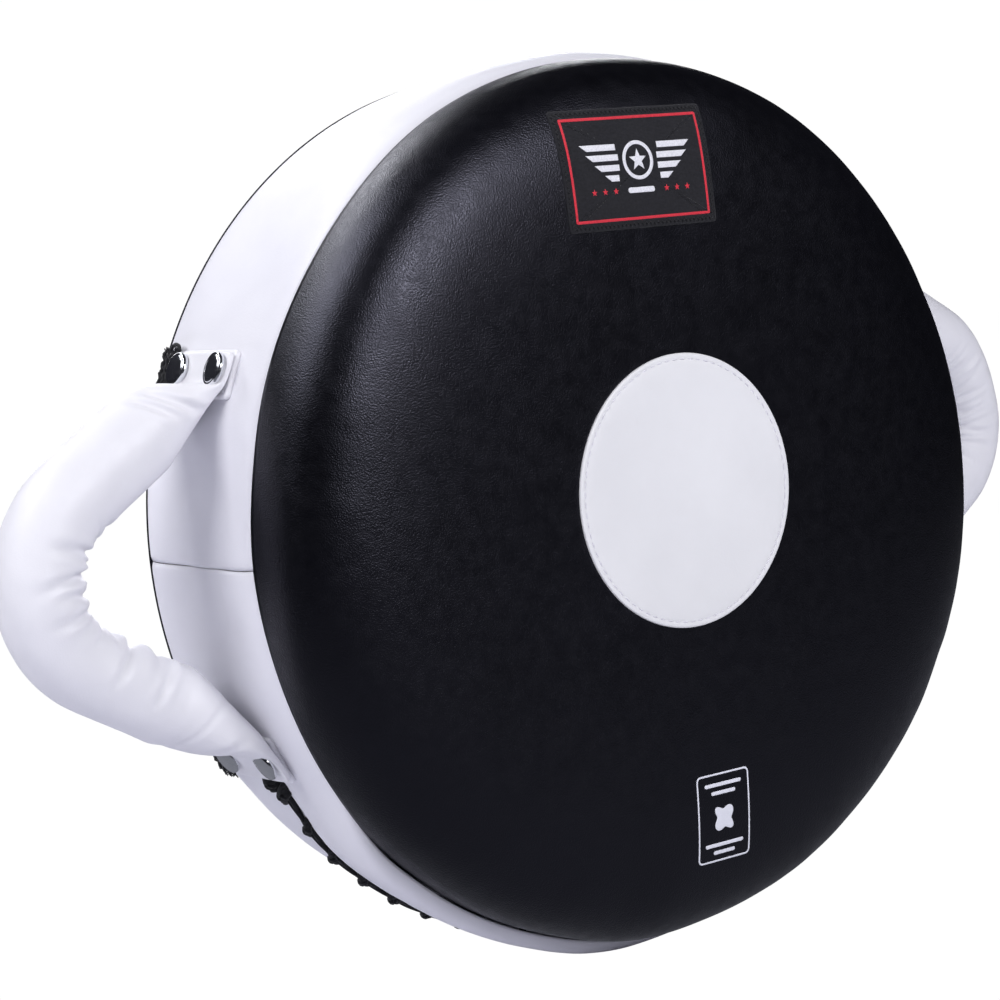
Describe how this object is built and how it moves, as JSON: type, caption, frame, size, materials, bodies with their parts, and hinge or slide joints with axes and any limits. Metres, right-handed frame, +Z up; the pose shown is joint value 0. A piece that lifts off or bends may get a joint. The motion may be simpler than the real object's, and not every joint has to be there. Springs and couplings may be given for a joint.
{
  "type": "round strike shield",
  "caption": "Round padded shield for kicks and punches, with a crowned strike face, a side band laced shut below, and a padded loop handle on each side.",
  "frame": {"origin": "centre of the flat back face, which lies in the XZ plane", "axes": "+Y out of the back towards the holder, +Z up as the label reads, +X to the right of someone who faces the strike face; the handles stand out along -X and +X"},
  "size_m": [0.5892, 0.1366, 0.4037],
  "materials": {
    "black_leather": "satin",
    "white_leather": "satin",
    "woven_label": "matte",
    "dense_foam": "matte",
    "core_foam": "matte",
    "black_webbing": "matte",
    "black_lace": "matte",
    "rivet_chrome": "polished",
    "rivet_steel": "satin"
  },
  "bodies": {
    "shell": {"front_panel": "black_leather", "back_panel": "black_leather", "gusset_upper": "white_leather", "gusset_lower": "white_leather", "slit_flap": "white_leather", "centre_target": "white_leather", "woven_label": "woven_label", "strike_foam": "dense_foam", "front_core_foam": "core_foam", "middle_core_foam": "core_foam", "rear_core_foam": "core_foam", "back_sheet_foam": "core_foam", "slit_lace": "black_lace", "left_upper_tab": "white_leather", "left_upper_strap_tail": "black_webbing", "left_upper_neck": "white_leather", "left_upper_rivets": "rivet_chrome", "left_upper_washers": "rivet_steel", "left_upper_backing": "black_leather", "left_lower_tab": "white_leather", "left_lower_strap_tail": "black_webbing", "left_lower_neck": "white_leather", "left_lower_rivets": "rivet_chrome", "left_lower_washers": "rivet_steel", "left_lower_backing": "black_leather", "right_upper_tab": "white_leather", "right_upper_strap_tail": "black_webbing", "right_upper_neck": "white_leather", "right_upper_rivets": "rivet_chrome", "right_upper_washers": "rivet_steel", "right_upper_backing": "black_leather", "right_lower_tab": "white_leather", "right_lower_strap_tail": "black_webbing", "right_lower_neck": "white_leather", "right_lower_rivets": "rivet_chrome", "right_lower_washers": "rivet_steel", "right_lower_backing": "black_leather"},
    "left_handle": {"left_grip_sleeve": "white_leather", "left_grip_padding": "core_foam", "left_core_strap": "black_webbing"},
    "right_handle": {"right_grip_sleeve": "white_leather", "right_grip_padding": "core_foam", "right_core_strap": "black_webbing"}
  },
  "joints": [
    {"name": "left_handle_tilt", "type": "hinge", "parent": "shell", "child": "left_handle", "pos_m": [-0.186, -0.0405, 0], "axis": [0, 0, 1], "range_deg": [-15, 15]},
    {"name": "right_handle_tilt", "type": "hinge", "parent": "shell", "child": "right_handle", "pos_m": [0.186, -0.0405, 0], "axis": [0, 0, 1], "range_deg": [-15, 15]}
  ]
}
